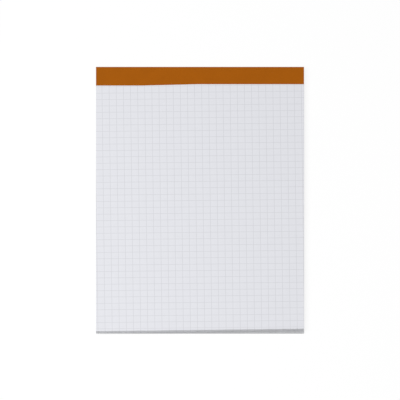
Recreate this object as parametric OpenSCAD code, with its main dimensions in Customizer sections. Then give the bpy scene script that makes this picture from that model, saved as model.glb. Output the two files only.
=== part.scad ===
// Head-bound notepad: a block of square-ruled leaves on a greyboard back, held by
// two flat-wire staples and closed at the head by a folded band.
// Millimetres. X runs across the pad, Y up the page to its head, Z out of the page.
// The origin is the middle of the back, on the surface that the pad lies on.

/* [Pad] */
// Width of the pad, side to side
pad_w = 148; // [100:1:220]
// Length of the pad, from the foot of the board to the fold of the head band
pad_l = 210; // [140:1:300]

/* [Leaves] */
// Number of leaves in the block
leaf_count = 50; // [20:1:100]
// Thickness of one leaf
leaf_t = 0.07; // [0.05:0.005:0.12]
// How much thicker the loose foot of the block is than its bound head
foot_swell = 0.2; // [0.05:0.05:1]
// Angle by which the leaves lie out of square with the board, which shows at their foot
leaf_skew = 0.8; // [0:0.1:1.5]
// How far the board stands out past the middle of the leaves' foot
foot_step = 0.6; // [0:0.1:2]

/* [Board] */
// Thickness of the greyboard back
board_t = 0.8; // [0.7:0.1:2]

/* [Head band] */
// Width of the band on the front, halfway up the step in its edge
band_front = 14.4; // [10:0.1:30]
// How much lower the band's front edge lies at the left than at the right
band_step = 1.1; // [0:0.1:2]
// Where the middle of that step is, from the middle of the pad
step_x = -21.5; // [-40:0.5:40]
// Length of the slope by which the edge rises over the step
step_l = 40; // [5:1:60]
// Width of the band on the back
band_back = 14; // [10:0.5:30]
// Thickness of the band
band_t = 0.2; // [0.1:0.05:0.3]
// Inner radius of the band's two folds
fold_r = 0.4; // [0.1:0.1:0.5]

/* [Staples] */
// Distance between the middles of the two staples
staple_spacing = 74; // [30:1:80]
// Distance of the staples from the head of the pad
staple_inset = 6; // [3:0.5:8]
// Width of a staple over its legs
staple_w = 12; // [9:0.5:16]
// Thickness of the flat wire
wire_t = 0.4; // [0.3:0.05:0.5]
// Width of the flat wire
wire_w = 0.6; // [0.4:0.05:1]
// Inner radius of the wire's bends
wire_bend = 0.4; // [0.2:0.1:0.6]
// Length of each clinched end, measured over its leg
clinch_l = 4; // [2:0.5:4.5]
// Clearance all round the wire
wire_gap = 0.02; // [0.01:0.01:0.05]

/* [Hidden] */
$fn = 64;

// Levels, from the surface that the pad lies on upwards
seat_z = band_t;                            // where the band lies, the board is pressed in
head_z = board_t + leaf_count * leaf_t;     // top of the bound head
foot_z = head_z + foot_swell;               // top of the loose foot

// Places along the page
foot_y = -pad_l / 2;                        // foot of the board
leaf_foot_y = foot_y + foot_step;           // middle of the leaves' foot
nose_y = pad_l / 2 - band_t;                // head of the board and the leaves, inside the band
back_y = pad_l / 2 - band_back;             // edge of the band on the back
front_y = pad_l / 2 - band_front;           // edge of the band on the front, halfway up its step
staple_y = pad_l / 2 - staple_inset;

half_w = pad_w / 2;
foot_rise = half_w * tan(leaf_skew);        // the leaves' foot is this much higher at the right
flat_y = front_y - band_step / 2;           // the leaves lie flat from here up to the head
swell_steps = 12;                           // flats along the swelling top of the block
over = 1;                                   // how far a cut or a blank runs past what it trims

paper = [0.89, 0.9, 0.92];
greyboard = [0.76, 0.765, 0.775];
orange_brown = [0.64, 0.35, 0.07];
zinc_wire = [0.72, 0.73, 0.75];

// Extrudes a side view, drawn as (Y, Z), across the whole width of the pad.
module across_pad() {
    rotate([90, 0, 90]) linear_extrude(pad_w, center = true) children();
}

// Side view of a head that ends at nose, with its two edges rounded to r.
module rounded_head(nose, low, high, r, reach) {
    translate([nose - reach, low]) square([reach - r, high - low]);
    translate([nose - r, low + r]) square([r, high - low - 2 * r]);
    for (z = [low + r, high - r]) translate([nose - r, z]) circle(r);
}

// Side view of the bound head: the board and the leaves, as the band folds round them.
module bound_head(reach) {
    rounded_head(nose_y, seat_z, head_z, fold_r, reach);
}

// Side view of the board, with the pressed seat of the band on its back.
module board_section() {
    translate([foot_y, 0]) square([back_y - foot_y, board_t]);
    intersection() {
        bound_head(nose_y - back_y);
        translate([back_y, seat_z]) square([band_back, board_t - seat_z]);
    }
}

// Height that the loose leaves gain, from none at the band to all of it at the foot.
function swell(share) = foot_swell * (1 - cos(180 * share)) / 2;

// Side view of the leaves. It runs on past the foot, where the plan trims it.
module leaf_section() {
    trim_y = leaf_foot_y - foot_rise - over;
    loose_l = flat_y - leaf_foot_y;
    loose_top = [
        for (i = [0 : swell_steps])
            let (share = i / swell_steps) [flat_y - share * loose_l, head_z + swell(share)]
    ];
    polygon(concat(loose_top, [[trim_y, foot_z], [trim_y, board_t], [flat_y, board_t]]));
    intersection() {
        bound_head(nose_y - flat_y);
        translate([flat_y, board_t]) square([pad_l / 2 - flat_y, head_z - board_t]);
    }
}

// Plan of the leaves: flush with the board at the sides, askew at the foot.
module leaf_plan() {
    polygon([
        [-half_w, nose_y + over],
        [half_w, nose_y + over],
        [half_w, leaf_foot_y + foot_rise],
        [-half_w, leaf_foot_y - foot_rise]
    ]);
}

// Side view of the band: a strip folded over the head, from the front to the back.
// Its front runs as far as the low end of its edge, and the plan trims the rest.
module band_section() {
    front_reach = pad_l / 2 - flat_y;
    reach = max(front_reach, band_back);
    mid_z = head_z / 2;
    difference() {
        rounded_head(pad_l / 2, 0, head_z + band_t, fold_r + band_t, reach);
        bound_head(reach + over);
        translate([flat_y - reach, mid_z]) square([reach, head_z]);
        translate([back_y - reach, mid_z - head_z]) square([reach, head_z]);
    }
}

// Plan of what is trimmed off the band's front, below its edge.
module band_trim_plan() {
    high_y = front_y + band_step / 2;
    polygon([
        [-half_w - over, flat_y - over],
        [half_w + over, flat_y - over],
        [half_w + over, high_y],
        [step_x + step_l / 2, high_y],
        [step_x - step_l / 2, flat_y],
        [-half_w - over, flat_y]
    ]);
}

// Quarter of a bend in the wire, in the corner to the right of its centre and above it.
module quarter_bend(grow) {
    outer_r = wire_bend + wire_t + grow;
    intersection() {
        difference() {
            circle(outer_r);
            circle(wire_bend - grow);
        }
        square(outer_r);
    }
}

// Front view of one staple, drawn as (X, Z): crown in the top leaves, clinched ends in the board.
module staple_outline(grow) {
    bend_r = wire_bend + wire_t;
    bend_x = staple_w / 2 - bend_r;
    bar_t = wire_t + 2 * grow;
    clinch_end = staple_w / 2 - clinch_l - grow;
    translate([-bend_x, head_z - wire_t - grow]) square([2 * bend_x, bar_t]);
    for (side = [0, 1]) mirror([side, 0]) {
        translate([bend_x, head_z - bend_r]) quarter_bend(grow);
        translate([staple_w / 2 - wire_t - grow, seat_z + bend_r])
            square([bar_t, head_z - seat_z - 2 * bend_r]);
        translate([bend_x, seat_z + bend_r]) mirror([0, 1]) quarter_bend(grow);
        translate([clinch_end, seat_z - grow]) square([bend_x - clinch_end, bar_t]);
    }
}

// Both staples, or with grow the room that they take in the leaves and the board.
module staple_pair(grow = 0) {
    for (side = [-1, 1])
        translate([side * staple_spacing / 2, staple_y, 0])
            rotate([90, 0, 0])
                linear_extrude(wire_w + 2 * grow, center = true) staple_outline(grow);
}

module back_board() {
    color(greyboard) difference() {
        across_pad() board_section();
        staple_pair(wire_gap);
    }
}

module page_block() {
    color(paper) difference() {
        intersection() {
            across_pad() leaf_section();
            linear_extrude(foot_z + over) leaf_plan();
        }
        staple_pair(wire_gap);
    }
}

module head_band() {
    color(orange_brown) difference() {
        across_pad() band_section();
        translate([0, 0, head_z / 2]) linear_extrude(head_z) band_trim_plan();
    }
}

module staples() {
    color(zinc_wire) staple_pair();
}

back_board();
page_block();
head_band();
staples();
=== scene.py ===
"""Builds the looks of a head-bound notepad round its solids.

The pad is a block of ruled leaves on a greyboard back, with a folded band over its bound head.
Everything is in metres, in the frame of the solids: X across the page, Y up it, Z out of it.
"""

import math
import random

import bmesh
import bpy
from bpy.props import FloatProperty, FloatVectorProperty, IntProperty, PointerProperty
from bpy.types import Operator, Panel, PropertyGroup
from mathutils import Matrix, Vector


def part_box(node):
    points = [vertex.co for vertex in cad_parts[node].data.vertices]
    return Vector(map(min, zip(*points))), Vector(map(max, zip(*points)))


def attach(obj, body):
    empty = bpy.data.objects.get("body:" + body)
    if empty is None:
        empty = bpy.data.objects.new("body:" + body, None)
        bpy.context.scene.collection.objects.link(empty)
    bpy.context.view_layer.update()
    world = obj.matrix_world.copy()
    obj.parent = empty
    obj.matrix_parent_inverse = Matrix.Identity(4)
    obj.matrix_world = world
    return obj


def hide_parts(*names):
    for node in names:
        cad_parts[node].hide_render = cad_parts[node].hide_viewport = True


bl_info = {
    "name": "Notepad",
    "version": (1, 0, 0),
    "blender": (4, 5, 0),
    "location": "3D View > Sidebar > Notepad",
    "description": "Dresses a head-bound notepad: its leaves, board, band and staples",
    "category": "Object",
}

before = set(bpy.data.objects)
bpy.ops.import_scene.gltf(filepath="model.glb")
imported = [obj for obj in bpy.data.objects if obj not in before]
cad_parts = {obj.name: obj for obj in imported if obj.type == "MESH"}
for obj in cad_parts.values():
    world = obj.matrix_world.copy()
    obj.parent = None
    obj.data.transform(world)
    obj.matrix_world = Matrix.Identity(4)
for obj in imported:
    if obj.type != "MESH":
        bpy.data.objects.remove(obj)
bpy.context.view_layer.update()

MM = 0.001

# Where the solids lie
board_low, board_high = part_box("back_board")
block_low, block_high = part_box("page_block")
band_low, band_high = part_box("head_band")
wire_low, wire_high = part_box("staples")

HALF_WIDTH = board_high.x
FOOT = board_low.y            # foot of the board
NOSE = board_high.y           # head of the board and the leaves, inside the band
HEAD = band_high.y            # outside of the band's fold
BOARD_TOP = board_high.z
SEAT = wire_low.z             # depth of the seat that the band has in the board's back
BOUND_TOP = wire_high.z       # top of the leaves where they are bound
BAND_TOP = band_high.z
LOOSE_TOP = block_high.z      # top of the leaves at their loose foot
BAND_THICKNESS = BAND_TOP - BOUND_TOP

LEAF_SEED = 7                 # for how the leaves stray
AIR_BIAS = 4                  # the higher, the fewer the gaps that hold most of the air between the leaves

# How finely the pieces are divided
LEAF_COLUMNS = 6
LEAF_ROWS = 28
BAND_COLUMNS = 74
BAND_ROWS = 8                 # on the front and on the back
HEAD_ROWS = 3                 # between the two folds
FOLD_STEPS = 8
CORNER_STEPS = 5
SOFT_EDGE_STEPS = 2
SMOOTH_BELOW = math.radians(30)   # the band is shaded smooth over a fold, and sharp at its cut edges

BAKE_MAP = "OFBake"           # the texture map that a piece's colours are baked through

# Where each side of a leaf lies on its map, as left, low, width and height. On the top leaf's map
# the page that shows has most of the room. A leaf of the block has one row of the block's map, on
# which its cut edges, thin as they are, have more room than its pages.
TOP_LAYOUT = {
    "front": (0.005, 0.005, 0.99, 0.78),
    "back": (0.005, 0.795, 0.99, 0.13),
    "left": (0.005, 0.935, 0.99, 0.01),
    "right": (0.005, 0.952, 0.99, 0.01),
    "foot": (0.005, 0.969, 0.99, 0.01),
    "head": (0.005, 0.986, 0.99, 0.01),
}
BLOCK_LAYOUT = {
    "left": (0.005, 0.03, 0.99, 0.15),
    "right": (0.005, 0.22, 0.99, 0.15),
    "foot": (0.005, 0.41, 0.485, 0.15),
    "head": (0.51, 0.41, 0.485, 0.15),
    "front": (0.005, 0.6, 0.485, 0.36),
    "back": (0.51, 0.6, 0.485, 0.36),
}


def length(name, description, default):
    """A property for a size, in metres."""
    return FloatProperty(
        name=name, description=description, default=default, min=0.0, unit="LENGTH", precision=5
    )


def spot(name, description, default):
    """A property for a place, in metres."""
    return FloatVectorProperty(
        name=name, description=description, default=default, subtype="TRANSLATION", unit="LENGTH"
    )


def angle(name, description, degrees):
    """A property for an angle, given in degrees."""
    return FloatProperty(
        name=name, description=description, default=math.radians(degrees), subtype="ANGLE", precision=3
    )


def colour(name, description, default):
    """A property for a linear colour."""
    return FloatVectorProperty(
        name=name, description=description, default=default, size=3, min=0.0, max=1.0, subtype="COLOR"
    )


class NotepadLeaves(PropertyGroup):
    """Sizes and colours of the leaves and of their ruling."""

    count: IntProperty(name="Leaves", description="Number of leaves in the block", default=50, min=2)
    skew: angle("Skew", "Angle of the leaves' foot to the foot of the board", 0.8)
    stray: length("Stray", "How far a leaf may lie out of line with the others", 0.12 * MM)
    square: length("Square", "Pitch of the ruling", 5.066 * MM)
    line: length("Line", "Width of a ruled line", 0.3 * MM)
    turn: angle("Turn", "Angle of the ruling to the edges of the pad", 0.66)
    offset: spot("Offset", "A crossing of the ruling near the page's middle", (2.19 * MM, -1.36 * MM, 0.0))
    paper: colour("Paper", "Colour of the bare paper", (0.757, 0.763, 0.804))
    ink: colour("Ink", "Colour of the ruled lines", (0.62, 0.626, 0.66))
    edge: colour("Edge", "Colour of the cut edges", (0.85, 0.855, 0.865))
    line_end: FloatProperty(
        name="Line end",
        description="How much of a ruled line's ink shows at a cut edge",
        default=0.2,
        min=0.0,
        max=1.0,
        subtype="FACTOR",
    )


class NotepadBand(PropertyGroup):
    """Sizes and colours of the folded band."""

    front: length("Front", "Width of the band on the front, halfway up the step in its edge", 14.4 * MM)
    back: length("Back", "Width of the band on the back", 14 * MM)
    step: length("Step", "How much wider its left end is than its right", 1.1 * MM)
    step_run: length("Step run", "Length of the slope by which its edge rises over the step", 40 * MM)
    step_place: FloatProperty(
        name="Step place",
        description="Middle of the step, from the middle of the pad",
        default=-21.5 * MM,
        unit="LENGTH",
        precision=5,
    )
    fold: length("Fold", "Inner radius of the two folds", 0.4 * MM)
    thread: length("Thread", "Pitch of the embossed linen grain", 0.55 * MM)
    dye: colour("Dye", "Colour of the band", (0.392, 0.105, 0.002))
    scuff: colour("Scuff", "Colour of the rubbed folds", (0.46, 0.17, 0.03))


class NotepadBoard(PropertyGroup):
    """Sizes and colours of the greyboard back."""

    corner: length("Corner", "Radius of the worn corners", 0.5 * MM)
    soft: length("Softness", "Rounding of the cut edges", 0.08 * MM)
    pulp: colour("Pulp", "Colour of the board", (0.555, 0.56, 0.575))
    fleck: colour("Fleck", "Colour of the dark flecks", (0.28, 0.28, 0.285))
    fibre: colour("Fibre", "Colour of the pale fibres", (0.68, 0.68, 0.68))


class NotepadWire(PropertyGroup):
    """Finish of the staples."""

    zinc: colour("Zinc", "Colour of the coated wire", (0.55, 0.56, 0.58))


class NotepadStage(PropertyGroup):
    """Camera, light and floor."""

    elevation: angle("Elevation", "Height of the view above the floor", 63.5)
    width: length("Width", "Width of the picture at the pad", 284.6 * MM)
    rise: length("Rise", "How far the middle of the picture is above the middle of the pad", 0.17 * MM)
    key: FloatProperty(
        name="Key", description="Power of the softbox", default=17.5, min=0.0, unit="POWER"
    )
    ambient: FloatProperty(
        name="Ambient", description="Strength of the room's light", default=0.32, min=0.0
    )
    softbox: length("Softbox", "Side of the softbox", 1.2)
    softbox_place: spot("Softbox place", "Middle of the softbox, which faces the pad", (-0.5, -0.2, 1.25))
    floor: colour("Floor", "Colour of the floor, by which it lights the pad", (0.8, 0.8, 0.8))
    floor_glow: FloatProperty(
        name="Floor glow",
        description="Share of the floor's white that shadows can't dim",
        default=0.85,
        min=0.0,
        max=1.0,
        subtype="FACTOR",
    )


class NotepadSettings(PropertyGroup):
    """All that a user would change on the pad."""

    leaves: PointerProperty(type=NotepadLeaves)
    band: PointerProperty(type=NotepadBand)
    board: PointerProperty(type=NotepadBoard)
    wire: PointerProperty(type=NotepadWire)
    stage: PointerProperty(type=NotepadStage)


# Small helpers for shader nodes

# The part of noise's range over which a shade goes from its darkest to 1
WIDE_SPAN = (0.3, 0.7)
NARROW_SPAN = (0.35, 0.65)

# The sockets of a Mix node that are colours: its inputs A and B, and its result
MIX_COLOURS = (6, 7)
MIX_RESULT = 2


def start_material(name):
    """A new material, with its node tree and its empty Principled shader."""
    material = bpy.data.materials.new(name)
    material.use_nodes = True
    return material, material.node_tree, material.node_tree.nodes["Principled BSDF"]


def add_node(tree, kind, **settings):
    """A new node with these settings."""
    node = tree.nodes.new(kind)
    for key, value in settings.items():
        setattr(node, key, value)
    return node


def feed(tree, source, target):
    """Links an output to an input, or sets the input to a plain value."""
    if isinstance(source, bpy.types.NodeSocket):
        tree.links.new(source, target)
    else:
        target.default_value = source


def math_node(tree, operation, first, second=0.0):
    """The result of a Math node."""
    node = add_node(tree, "ShaderNodeMath", operation=operation)
    feed(tree, first, node.inputs[0])
    feed(tree, second, node.inputs[1])
    return node.outputs["Value"]


def map_range(tree, value, start, end, low, high, smooth=False):
    """Value moved from the range start to end into the range low to high."""
    node = add_node(tree, "ShaderNodeMapRange", interpolation_type="SMOOTHSTEP" if smooth else "LINEAR")
    feed(tree, value, node.inputs["Value"])
    for socket, number in (("From Min", start), ("From Max", end), ("To Min", low), ("To Max", high)):
        node.inputs[socket].default_value = number
    return node.outputs["Result"]


def mix_colour(tree, share, first, second, blend="MIX"):
    """Two colours mixed by share."""
    node = add_node(tree, "ShaderNodeMix", data_type="RGBA", blend_type=blend)
    feed(tree, share, node.inputs["Factor"])
    for index, value in zip(MIX_COLOURS, (first, second)):
        opaque = value if isinstance(value, bpy.types.NodeSocket) else (*value, 1.0)
        feed(tree, opaque, node.inputs[index])
    return node.outputs[MIX_RESULT]


def place(tree, scale=(1.0, 1.0, 1.0), turn=0.0, shift=(0.0, 0.0, 0.0)):
    """Object coordinates, scaled, turned about Z and then shifted."""
    source = add_node(tree, "ShaderNodeTexCoord")
    mapping = add_node(tree, "ShaderNodeMapping", vector_type="POINT")
    mapping.inputs["Scale"].default_value = scale
    mapping.inputs["Rotation"].default_value = (0.0, 0.0, turn)
    mapping.inputs["Location"].default_value = shift
    feed(tree, source.outputs["Object"], mapping.inputs["Vector"])
    return mapping.outputs["Vector"]


def split(tree, vector):
    """The X, Y and Z of a vector."""
    node = add_node(tree, "ShaderNodeSeparateXYZ")
    feed(tree, vector, node.inputs["Vector"])
    return node.outputs["X"], node.outputs["Y"], node.outputs["Z"]


def noise(tree, vector, grain, detail=2.0, roughness=0.5):
    """Noise from 0 to 1 with features about as large as grain, in the vector's own unit."""
    node = add_node(tree, "ShaderNodeTexNoise")
    node.inputs["Scale"].default_value = 1.0 / grain
    node.inputs["Detail"].default_value = detail
    node.inputs["Roughness"].default_value = roughness
    feed(tree, vector, node.inputs["Vector"])
    return node.outputs["Fac"]


def tone(tree, vector, grain, darkest, detail=2.0, roughness=0.5, span=WIDE_SPAN):
    """A shade from darkest to 1, by noise of this grain."""
    return map_range(tree, noise(tree, vector, grain, detail, roughness), *span, darkest, 1.0)


def bump(tree, height, depth, normal=None):
    """A normal that is bumped by height, which is depth deep between 0 and 1."""
    node = add_node(tree, "ShaderNodeBump")
    node.inputs["Strength"].default_value = 1.0
    node.inputs["Distance"].default_value = depth
    feed(tree, height, node.inputs["Height"])
    if normal is not None:
        feed(tree, normal, node.inputs["Normal"])
    return node.outputs["Normal"]


def upright(tree):
    """A mask of the faces: 1 where they stand upright, 0 where they lie flat."""
    geometry = add_node(tree, "ShaderNodeNewGeometry")
    _, _, up = split(tree, geometry.outputs["True Normal"])
    return map_range(tree, math_node(tree, "ABSOLUTE", up), start=0.3, end=0.8, low=1.0, high=0.0)


# Materials


def ruling(tree, leaves):
    """A mask of the ruled squares: 1 on a line, 0 between."""
    print_frame = place(tree, turn=-leaves.turn, shift=tuple(-step for step in leaves.offset))
    across, along, _ = split(tree, print_frame)
    half_line = leaves.line / 2
    blur = 0.6 * half_line
    inked = half_line - blur
    bare = half_line + blur
    masks = []
    for coordinate in (across, along):
        distance = math_node(tree, "PINGPONG", coordinate, leaves.square / 2)
        masks.append(map_range(tree, distance, start=inked, end=bare, low=1.0, high=0.0, smooth=True))
    return math_node(tree, "MAXIMUM", *masks)


def paper_material(leaves):
    """Uncoated writing paper with a faint ruling in grey ink."""
    material, tree, shader = start_material("ruled_paper")
    plain = place(tree)
    formation = tone(tree, plain, grain=6 * MM, darkest=0.988, detail=3.0)
    fibres = tone(tree, plain, grain=0.5 * MM, darkest=0.985, detail=3.0, roughness=0.6)
    shade = math_node(tree, "MULTIPLY", formation, fibres)
    ink_cover = tone(tree, plain, grain=1.2 * MM, darkest=0.8, span=NARROW_SPAN)
    ink_share = math_node(tree, "MULTIPLY", ruling(tree, leaves), ink_cover)
    printed = mix_colour(tree, ink_share, leaves.paper, leaves.ink)
    feed(tree, mix_colour(tree, 1.0, printed, shade, "MULTIPLY"), shader.inputs["Base Color"])
    shader.inputs["Roughness"].default_value = 0.9
    shader.inputs["Specular IOR Level"].default_value = 0.25
    tooth = noise(tree, plain, grain=0.25 * MM, detail=4.0, roughness=0.65)
    feed(tree, bump(tree, tooth, depth=0.012 * MM), shader.inputs["Normal"])
    return material


def edge_material(leaves):
    """Cut edges of the leaves: streaks along the cut, partly painted shade, and the ends of the ruled
    lines.
    """
    material, tree, shader = start_material("leaf_edges")
    streak_frame = place(tree, scale=(0.012, 0.012, 1.0))
    leaf_step = (BOUND_TOP - BOARD_TOP) / leaves.count
    # Painted shade: the fine streaks darken the cut edges where their bump sinks, as between the leaves
    fine_streak_shade = tone(tree, streak_frame, grain=1.6 * leaf_step, darkest=0.82, roughness=0.6)
    bundle = tone(tree, streak_frame, grain=9 * leaf_step, darkest=0.92, detail=1.0, span=NARROW_SPAN)
    shade = math_node(tree, "MULTIPLY", fine_streak_shade, bundle)
    line_end = math_node(tree, "MULTIPLY", ruling(tree, leaves), leaves.line_end)
    printed = mix_colour(tree, line_end, leaves.edge, leaves.ink)
    feed(tree, mix_colour(tree, 1.0, printed, shade, "MULTIPLY"), shader.inputs["Base Color"])
    shader.inputs["Roughness"].default_value = 0.95
    shader.inputs["Specular IOR Level"].default_value = 0.15
    feed(tree, bump(tree, fine_streak_shade, depth=0.02 * MM), shader.inputs["Normal"])
    return material


def band_material(band):
    """Dyed binding paper, embossed with a fine linen grain with painted shade in its hollows, and rubbed
    at its folds.
    """
    material, tree, shader = start_material("band_linen_paper")
    plain = place(tree)
    across, along, up = split(tree, plain)
    unfolded = math_node(tree, "SUBTRACT", along, up)
    waver_reach = 0.6 * band.thread
    waver = math_node(tree, "MULTIPLY", noise(tree, plain, grain=2.5 * MM), waver_reach)
    rate = 2 * math.pi / band.thread
    threads = []
    for coordinate in (across, unfolded):
        phase = math_node(tree, "MULTIPLY", math_node(tree, "ADD", coordinate, waver), rate)
        threads.append(math_node(tree, "SINE", phase))
    weave = map_range(tree, math_node(tree, "MULTIPLY", *threads), start=-1.0, end=1.0, low=0.0, high=1.0)
    pulp = noise(tree, plain, grain=0.3 * MM, detail=3.0, roughness=0.6)
    cloud = tone(tree, plain, grain=8 * MM, darkest=0.95)
    speck = map_range(tree, pulp, *WIDE_SPAN, low=0.94, high=1.0)
    # Painted shade: the hollows of the embossed grain are up to 5% darker
    hollow_shade = map_range(tree, weave, start=0.0, end=1.0, low=0.95, high=1.0)
    shade = math_node(tree, "MULTIPLY", math_node(tree, "MULTIPLY", cloud, speck), hollow_shade)
    # Rubbed where the strip turns over the head: near both folds, in patches
    from_head = math_node(tree, "SUBTRACT", HEAD, along)
    from_front = math_node(tree, "SUBTRACT", BAND_TOP, up)
    from_fold = math_node(tree, "ADD", from_head, math_node(tree, "MINIMUM", from_front, up))
    near_fold = map_range(
        tree, from_fold, start=0.25 * MM, end=0.7 * MM, low=1.0, high=0.0, smooth=True
    )
    wear = noise(tree, plain, grain=3 * MM, detail=4.0, roughness=0.7)
    patches = map_range(tree, wear, start=0.5, end=0.72, low=0.0, high=0.3)
    rubbed = math_node(tree, "MULTIPLY", near_fold, patches)
    dyed = mix_colour(tree, rubbed, band.dye, band.scuff)
    feed(tree, mix_colour(tree, 1.0, dyed, shade, "MULTIPLY"), shader.inputs["Base Color"])
    shader.inputs["Roughness"].default_value = 0.75
    shader.inputs["Specular IOR Level"].default_value = 0.08
    embossed = bump(tree, weave, depth=0.02 * MM)
    feed(tree, bump(tree, pulp, depth=0.01 * MM, normal=embossed), shader.inputs["Normal"])
    return material


def board_material(board):
    """Greyboard: mottled recycled pulp with dark flecks and pale fibres, layered at its cut edges."""
    material, tree, shader = start_material("greyboard")
    plain = place(tree)
    mottle = tone(tree, plain, grain=5 * MM, darkest=0.93, detail=4.0, roughness=0.6)
    clumps = tone(tree, plain, grain=0.8 * MM, darkest=0.94, detail=3.0, roughness=0.6)
    layer_frame = place(tree, scale=(0.03, 0.03, 1.0))
    layer_noise = noise(tree, layer_frame, grain=0.14 * MM)
    layer_depth = map_range(tree, layer_noise, *WIDE_SPAN, low=0.2, high=0.0)
    layers = math_node(tree, "SUBTRACT", 1.0, math_node(tree, "MULTIPLY", upright(tree), layer_depth))
    shade = math_node(tree, "MULTIPLY", math_node(tree, "MULTIPLY", mottle, clumps), layers)
    fleck_noise = noise(tree, plain, grain=0.6 * MM, detail=1.0)
    fleck_share = map_range(tree, fleck_noise, start=0.66, end=0.74, low=0.0, high=0.65, smooth=True)
    fibre_frame = place(tree, scale=(1.0, 0.25, 1.0), turn=math.radians(35))
    fibre_noise = noise(tree, fibre_frame, grain=0.7 * MM)
    fibre_share = map_range(tree, fibre_noise, start=0.62, end=0.72, low=0.0, high=0.5, smooth=True)
    flecked = mix_colour(tree, fleck_share, board.pulp, board.fleck)
    mixed = mix_colour(tree, fibre_share, flecked, board.fibre)
    feed(tree, mix_colour(tree, 1.0, mixed, shade, "MULTIPLY"), shader.inputs["Base Color"])
    shader.inputs["Roughness"].default_value = 0.92
    shader.inputs["Specular IOR Level"].default_value = 0.15
    relief = noise(tree, plain, grain=0.5 * MM, detail=4.0, roughness=0.65)
    feed(tree, bump(tree, relief, depth=0.03 * MM), shader.inputs["Normal"])
    return material


def wire_material(wire):
    """Zinc-coated wire, drawn lengthwise."""
    material, tree, shader = start_material("zinc_wire")
    drawn = noise(tree, place(tree, scale=(0.05, 1.0, 0.05)), grain=0.06 * MM)
    shader.inputs["Base Color"].default_value = (*wire.zinc, 1.0)
    shader.inputs["Metallic"].default_value = 1.0
    feed(tree, map_range(tree, drawn, *WIDE_SPAN, low=0.28, high=0.45), shader.inputs["Roughness"])
    feed(tree, bump(tree, drawn, depth=0.004 * MM), shader.inputs["Normal"])
    return material


# Meshes


def finish_piece(name, bm, materials, replaced):
    """Makes a piece of a bmesh, that rides on the pad and stands for one of its solids."""
    mesh = bpy.data.meshes.new(name)
    bm.to_mesh(mesh)
    bm.free()
    for material in materials:
        mesh.materials.append(material)
    piece = bpy.data.objects.new(name, mesh)
    bpy.context.scene.collection.objects.link(piece)
    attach(piece, "root")
    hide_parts(replaced)
    return piece


def swell(along):
    """How much of the air between the leaves is there, from 0 at the band to 1 at the foot."""
    share = (band_low.y - along) / (band_low.y - FOOT)
    share = min(max(share, 0.0), 1.0)
    return (1.0 - math.cos(math.pi * share)) / 2


def air_shares(count, draw):
    """The share of the block's air that lies under each leaf: a few wide gaps and many narrow ones."""
    gaps = [draw.random() ** AIR_BIAS for _ in range(count)]
    total = sum(gaps)
    shares = []
    under = 0.0
    for gap in gaps:
        under += gap / total
        shares.append(under)
    return shares


def fold_inset(level, fold):
    """How far the head of a leaf whose top is at level lies back, to follow the band's front fold."""
    into_fold = max(level - (BOUND_TOP - fold), 0.0)
    return fold - math.sqrt(max(fold * fold - into_fold * into_fold, 0.0))


def lay_leaf(sheet, level, lift, stray, head, slope):
    """Moves a unit sheet to the top of its leaf. Stray is how far its left, right and foot lie back."""
    left = -HALF_WIDTH + stray[0]
    right = HALF_WIDTH - stray[1]
    corner_foot = block_low.y + stray[2]
    for vert in sheet:
        across = left + (vert.co.x + 0.5) * (right - left)
        foot = corner_foot + (across + HALF_WIDTH) * slope
        along = foot + (vert.co.y + 0.5) * (head - foot)
        vert.co = (across, along, level + lift * swell(along))


def leaf_side(normal):
    """The side of a leaf that faces this way."""
    if abs(normal.z) > 0.5:
        return "front" if normal.z > 0.0 else "back"
    if abs(normal.y) > 0.5:
        return "head" if normal.y > 0.0 else "foot"
    return "right" if normal.x > 0.0 else "left"


def dress_leaf(bm, faces, layout, row=0, rows=1):
    """Gives the faces of a leaf their materials, and their places on one row of the texture map."""
    layer = bm.loops.layers.uv[BAKE_MAP]
    for face in faces:
        face.normal_update()
        side = leaf_side(face.normal)
        face.material_index = 0 if side in ("front", "back") else 1
        left, low, width, height = layout[side]
        middle = face.calc_center_median().z
        for loop in face.loops:
            across = (loop.vert.co.x + HALF_WIDTH) / (2 * HALF_WIDTH)
            along = (loop.vert.co.y - FOOT) / (NOSE - FOOT)
            up = 1.0 if loop.vert.co.z > middle else 0.0
            spots = {
                "front": (along, 1.0 - across),
                "back": (along, across),
                "left": (1.0 - along, up),
                "right": (along, up),
                "foot": (across, up),
                "head": (1.0 - across, up),
            }
            run, rise = spots[side]
            loop[layer].uv = (left + run * width, (row + low + rise * height) / rows)


def faces_round(verts):
    """The faces that meet at these vertices, each once and always in the same order."""
    return list(dict.fromkeys(face for vert in verts for face in vert.link_faces))


def leaf_stack(leaves, fold):
    """The leaves, each a thin sheet of its own, loose at the foot and a little out of line.

    The top leaf, whose ruling shows, is a mesh by itself.
    """
    draw = random.Random(LEAF_SEED)
    thickness = (BOUND_TOP - BOARD_TOP) / leaves.count
    loose_air = LOOSE_TOP - BOUND_TOP
    below = leaves.count - 1
    block = bmesh.new()
    top = bmesh.new()
    for bm in (block, top):
        bm.loops.layers.uv.new(BAKE_MAP)
    for index, share in enumerate(air_shares(leaves.count, draw)):
        bm = block if index < below else top
        made = bmesh.ops.create_grid(bm, x_segments=LEAF_COLUMNS, y_segments=LEAF_ROWS, size=0.5)
        sheet = made["verts"]
        level = BOARD_TOP + (index + 1) * thickness
        head = NOSE - fold_inset(level, fold)
        stray = [leaves.stray * draw.random() for _ in range(3)]
        lay_leaf(sheet, level, loose_air * share, stray, head, math.tan(leaves.skew))
        made = bmesh.ops.solidify(bm, geom=faces_round(sheet), thickness=thickness)
        sheet += [item for item in made["geom"] if isinstance(item, bmesh.types.BMVert)]
        faces = faces_round(sheet)
        if bm is block:
            dress_leaf(bm, faces, BLOCK_LAYOUT, index, below)
        else:
            dress_leaf(bm, faces, TOP_LAYOUT)
    return block, top


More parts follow.
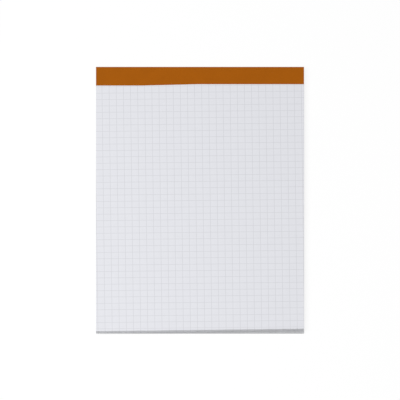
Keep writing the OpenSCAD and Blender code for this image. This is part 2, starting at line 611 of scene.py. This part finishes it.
def run_on(bm, vert, target, steps=1):
    """Draws a straight line from vert to target in equal steps, and gives its last vertex."""
    start = vert.co.copy()
    for index in range(1, steps + 1):
        vert = bmesh.ops.extrude_vert_indiv(bm, verts=[vert])["verts"][0]
        vert.co = start.lerp(Vector(target), index / steps)
    return vert


def turn_on(bm, vert, centre, turn):
    """Draws an arc from vert about centre, in a plane across X, and gives its last vertex."""
    made = bmesh.ops.spin(
        bm, geom=[vert], cent=centre, axis=(1.0, 0.0, 0.0), angle=turn, steps=FOLD_STEPS
    )
    return next(item for item in made["geom_last"] if isinstance(item, bmesh.types.BMVert))


def edge_rise(across, band):
    """How far the band's edge has risen over its step, from -0.5 at the left to 0.5 at the right."""
    share = (across - band.step_place) / band.step_run
    return min(max(share, -0.5), 0.5)


def folded_strip(band):
    """The band: its outer side view, extruded across the pad and given its thickness."""
    left = -HALF_WIDTH
    radius = band.fold + BAND_THICKNESS
    fold = HEAD - radius
    edge = HEAD - band.front
    bm = bmesh.new()
    vert = bm.verts.new((left, edge, BAND_TOP))
    vert = run_on(bm, vert, (left, fold, BAND_TOP), BAND_ROWS)
    vert = turn_on(bm, vert, (left, fold, BAND_TOP - radius), -math.pi / 2)
    vert = run_on(bm, vert, (left, HEAD, radius), HEAD_ROWS)
    vert = turn_on(bm, vert, (left, fold, radius), -math.pi / 2)
    run_on(bm, vert, (left, HEAD - band.back, 0.0), BAND_ROWS)
    chain = bm.edges[:]
    for _ in range(BAND_COLUMNS):
        made = bmesh.ops.extrude_edge_only(bm, edges=chain)["geom"]
        moved = [item for item in made if isinstance(item, bmesh.types.BMVert)]
        bmesh.ops.translate(bm, verts=moved, vec=(2 * HALF_WIDTH / BAND_COLUMNS, 0.0, 0.0))
        chain = [item for item in made if isinstance(item, bmesh.types.BMEdge)]
    for vert in bm.verts:
        if vert.co.z > BOUND_TOP and vert.co.y < fold:
            reach = (fold - vert.co.y) / (fold - edge)
            vert.co.y += reach * band.step * edge_rise(vert.co.x, band)
    bmesh.ops.recalc_face_normals(bm, faces=bm.faces[:])
    bmesh.ops.solidify(bm, geom=bm.faces[:], thickness=BAND_THICKNESS)
    return bm


def pressed_board(board, band):
    """The board: its side view with the band's seat, extruded across the pad, and worn corners."""
    left = -HALF_WIDTH
    seat_edge = HEAD - band.back
    bend = NOSE - band.fold
    bm = bmesh.new()
    start = bm.verts.new((left, FOOT, 0.0))
    vert = run_on(bm, start, (left, seat_edge, 0.0))
    vert = run_on(bm, vert, (left, seat_edge, SEAT))
    vert = run_on(bm, vert, (left, bend, SEAT))
    vert = turn_on(bm, vert, (left, bend, SEAT + band.fold), math.pi / 2)
    vert = run_on(bm, vert, (left, NOSE, BOARD_TOP))
    vert = run_on(bm, vert, (left, FOOT, BOARD_TOP))
    bm.edges.new((vert, start))
    side = bmesh.ops.contextual_create(bm, geom=bm.edges[:])["faces"]
    made = bmesh.ops.extrude_face_region(bm, geom=side)["geom"]
    moved = [item for item in made if isinstance(item, bmesh.types.BMVert)]
    bmesh.ops.translate(bm, verts=moved, vec=(2 * HALF_WIDTH, 0.0, 0.0))
    corners = [edge for edge in bm.edges if all(vert.co.y == start.co.y for vert in edge.verts)]
    corners = [edge for edge in corners if edge.verts[0].co.x == edge.verts[1].co.x]
    bmesh.ops.bevel(
        bm,
        geom=corners,
        offset=board.corner,
        segments=CORNER_STEPS,
        profile=0.5,
        affect="EDGES",
        material=-1,
    )
    bmesh.ops.recalc_face_normals(bm, faces=bm.faces[:])
    return bm


# Stage

FLOOR_REACH = 3.0             # from the middle of the floor to its edges
FLOOR_DROP = 0.05 * MM        # below the pad's back
CAMERA_DISTANCE = 1.0


def white_to_the_eye(tree):
    """A mask of the rays that see the backdrop straight, in a reflection or through glass."""
    path = add_node(tree, "ShaderNodeLightPath")
    seen = math_node(tree, "MAXIMUM", path.outputs["Is Camera Ray"], path.outputs["Is Glossy Ray"])
    return math_node(tree, "MAXIMUM", seen, path.outputs["Is Transmission Ray"])


def mix_shader(tree, share, first, second):
    """Two shaders mixed by share."""
    node = add_node(tree, "ShaderNodeMixShader")
    feed(tree, share, node.inputs["Fac"])
    tree.links.new(first.outputs[0], node.inputs[1])
    tree.links.new(second.outputs[0], node.inputs[2])
    return node


def floor_material(stage):
    """A pale floor that looks white, and still takes the pad's shadow."""
    material, tree, shader = start_material("pale_floor")
    output = tree.nodes["Material Output"]
    tree.nodes.remove(shader)
    dull = add_node(tree, "ShaderNodeBsdfDiffuse")
    dull.inputs["Color"].default_value = (*stage.floor, 1.0)
    pale = add_node(tree, "ShaderNodeBsdfDiffuse")
    pale.inputs["Color"].default_value = (1.0, 1.0, 1.0, 1.0)
    glow = add_node(tree, "ShaderNodeEmission")
    shown = mix_shader(tree, stage.floor_glow, pale, glow)
    mixed = mix_shader(tree, white_to_the_eye(tree), dull, shown)
    tree.links.new(mixed.outputs[0], output.inputs["Surface"])
    return material


def add_floor(stage):
    """The floor, a hair below the pad's back."""
    bm = bmesh.new()
    bmesh.ops.create_grid(bm, x_segments=1, y_segments=1, size=FLOOR_REACH)
    bmesh.ops.translate(bm, verts=bm.verts[:], vec=(0.0, 0.0, -FLOOR_DROP))
    mesh = bpy.data.meshes.new("floor")
    bm.to_mesh(mesh)
    bm.free()
    mesh.materials.append(floor_material(stage))
    floor = bpy.data.objects.new("floor", mesh)
    bpy.context.scene.collection.objects.link(floor)


def add_camera(stage, fold):
    """An orthographic camera over the foot of the pad, aimed at the middle of its outline."""
    sine = math.sin(stage.elevation)
    cosine = math.cos(stage.elevation)
    radius = fold + BAND_THICKNESS
    top = (HEAD - radius) * sine + (BAND_TOP - radius) * cosine + radius
    middle = (top + FOOT * sine) / 2 + stage.rise
    aim = Vector((0.0, middle / sine, 0.0))
    data = bpy.data.cameras.new("camera")
    data.type = "ORTHO"
    data.ortho_scale = stage.width
    camera = bpy.data.objects.new("camera", data)
    camera.location = aim + CAMERA_DISTANCE * Vector((0.0, -cosine, sine))
    camera.rotation_euler = (math.pi / 2 - stage.elevation, 0.0, 0.0)
    bpy.context.scene.collection.objects.link(camera)
    bpy.context.scene.camera = camera


def add_softbox(stage):
    """A wide softbox overhead, a little to the left."""
    data = bpy.data.lights.new("softbox", "AREA")
    data.shape = "SQUARE"
    data.size = stage.softbox
    data.energy = stage.key
    softbox = bpy.data.objects.new("softbox", data)
    softbox.location = stage.softbox_place
    softbox.rotation_euler = (-softbox.location).to_track_quat("-Z", "Y").to_euler()
    bpy.context.scene.collection.objects.link(softbox)


def light_room(stage):
    """Even light from all round, behind which the room looks white."""
    world = bpy.data.worlds.new("room")
    world.use_nodes = True
    tree = world.node_tree
    lit = tree.nodes["Background"]
    lit.inputs["Color"].default_value = (1.0, 1.0, 1.0, 1.0)
    lit.inputs["Strength"].default_value = stage.ambient
    white = add_node(tree, "ShaderNodeBackground")
    white.inputs["Color"].default_value = (1.0, 1.0, 1.0, 1.0)
    mixed = mix_shader(tree, white_to_the_eye(tree), lit, white)
    tree.links.new(mixed.outputs[0], tree.nodes["World Output"].inputs["Surface"])
    bpy.context.scene.world = world


class NOTEPAD_OT_stage(Operator):
    """Make the camera, the softbox, the room's light and the floor"""

    bl_idname = "notepad.stage"
    bl_label = "Stage"

    def execute(self, context):
        pad = context.scene.notepad
        add_camera(pad.stage, pad.band.fold)
        add_softbox(pad.stage)
        light_room(pad.stage)
        add_floor(pad.stage)
        context.scene.view_settings.view_transform = "Standard"
        return {"FINISHED"}


class NOTEPAD_OT_board(Operator):
    """Make the greyboard back"""

    bl_idname = "notepad.board"
    bl_label = "Back board"

    def execute(self, context):
        pad = context.scene.notepad
        bm = pressed_board(pad.board, pad.band)
        piece = finish_piece("board", bm, [board_material(pad.board)], "back_board")
        softened = piece.modifiers.new("softened_edges", "BEVEL")
        softened.width = pad.board.soft
        softened.segments = SOFT_EDGE_STEPS
        softened.limit_method = "ANGLE"
        return {"FINISHED"}


class NOTEPAD_OT_leaves(Operator):
    """Make the block of ruled leaves"""

    bl_idname = "notepad.leaves"
    bl_label = "Leaves"

    def execute(self, context):
        pad = context.scene.notepad
        block, top = leaf_stack(pad.leaves, pad.band.fold)
        finishes = [paper_material(pad.leaves), edge_material(pad.leaves)]
        finish_piece("leaves", block, finishes, "page_block")
        finish_piece("top_leaf", top, finishes, "page_block")
        return {"FINISHED"}


class NOTEPAD_OT_band(Operator):
    """Make the band that is folded over the head"""

    bl_idname = "notepad.band"
    bl_label = "Head band"

    def execute(self, context):
        pad = context.scene.notepad
        bm = folded_strip(pad.band)
        piece = finish_piece("band", bm, [band_material(pad.band)], "head_band")
        piece.data.shade_smooth()
        piece.data.set_sharp_from_angle(angle=SMOOTH_BELOW)
        return {"FINISHED"}


class NOTEPAD_OT_staples(Operator):
    """Give the staples under the band their finish"""

    bl_idname = "notepad.staples"
    bl_label = "Staples"

    def execute(self, context):
        material = wire_material(context.scene.notepad.wire)
        for material_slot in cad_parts["staples"].material_slots:
            material_slot.material = material
        return {"FINISHED"}


class NOTEPAD_PT_panel(Panel):
    """Settings of the notepad, and the steps that make it"""

    bl_idname = "NOTEPAD_PT_panel"
    bl_label = "Notepad"
    bl_space_type = "VIEW_3D"
    bl_region_type = "UI"
    bl_category = "Notepad"

    def draw(self, context):
        pad = context.scene.notepad
        for operator, group in STEPS:
            box = self.layout.box()
            box.operator(operator.bl_idname)
            settings = getattr(pad, group)
            for name in settings.bl_rna.properties.keys():
                if name not in ("rna_type", "name"):
                    box.prop(settings, name)


# Each step with the group of settings that it reads most
STEPS = (
    (NOTEPAD_OT_stage, "stage"),
    (NOTEPAD_OT_board, "board"),
    (NOTEPAD_OT_leaves, "leaves"),
    (NOTEPAD_OT_band, "band"),
    (NOTEPAD_OT_staples, "wire"),
)

GROUPS = (NotepadLeaves, NotepadBand, NotepadBoard, NotepadWire, NotepadStage, NotepadSettings)
CLASSES = GROUPS + tuple(operator for operator, _ in STEPS) + (NOTEPAD_PT_panel,)


def register():
    for item in CLASSES:
        bpy.utils.register_class(item)
    bpy.types.Scene.notepad = PointerProperty(type=NotepadSettings)


def unregister():
    del bpy.types.Scene.notepad
    for item in reversed(CLASSES):
        bpy.utils.unregister_class(item)


def main():
    register()
    bpy.ops.notepad.stage()
    bpy.ops.notepad.board()
    bpy.ops.notepad.leaves()
    bpy.ops.notepad.band()
    bpy.ops.notepad.staples()


if __name__ == "__main__":
    main()
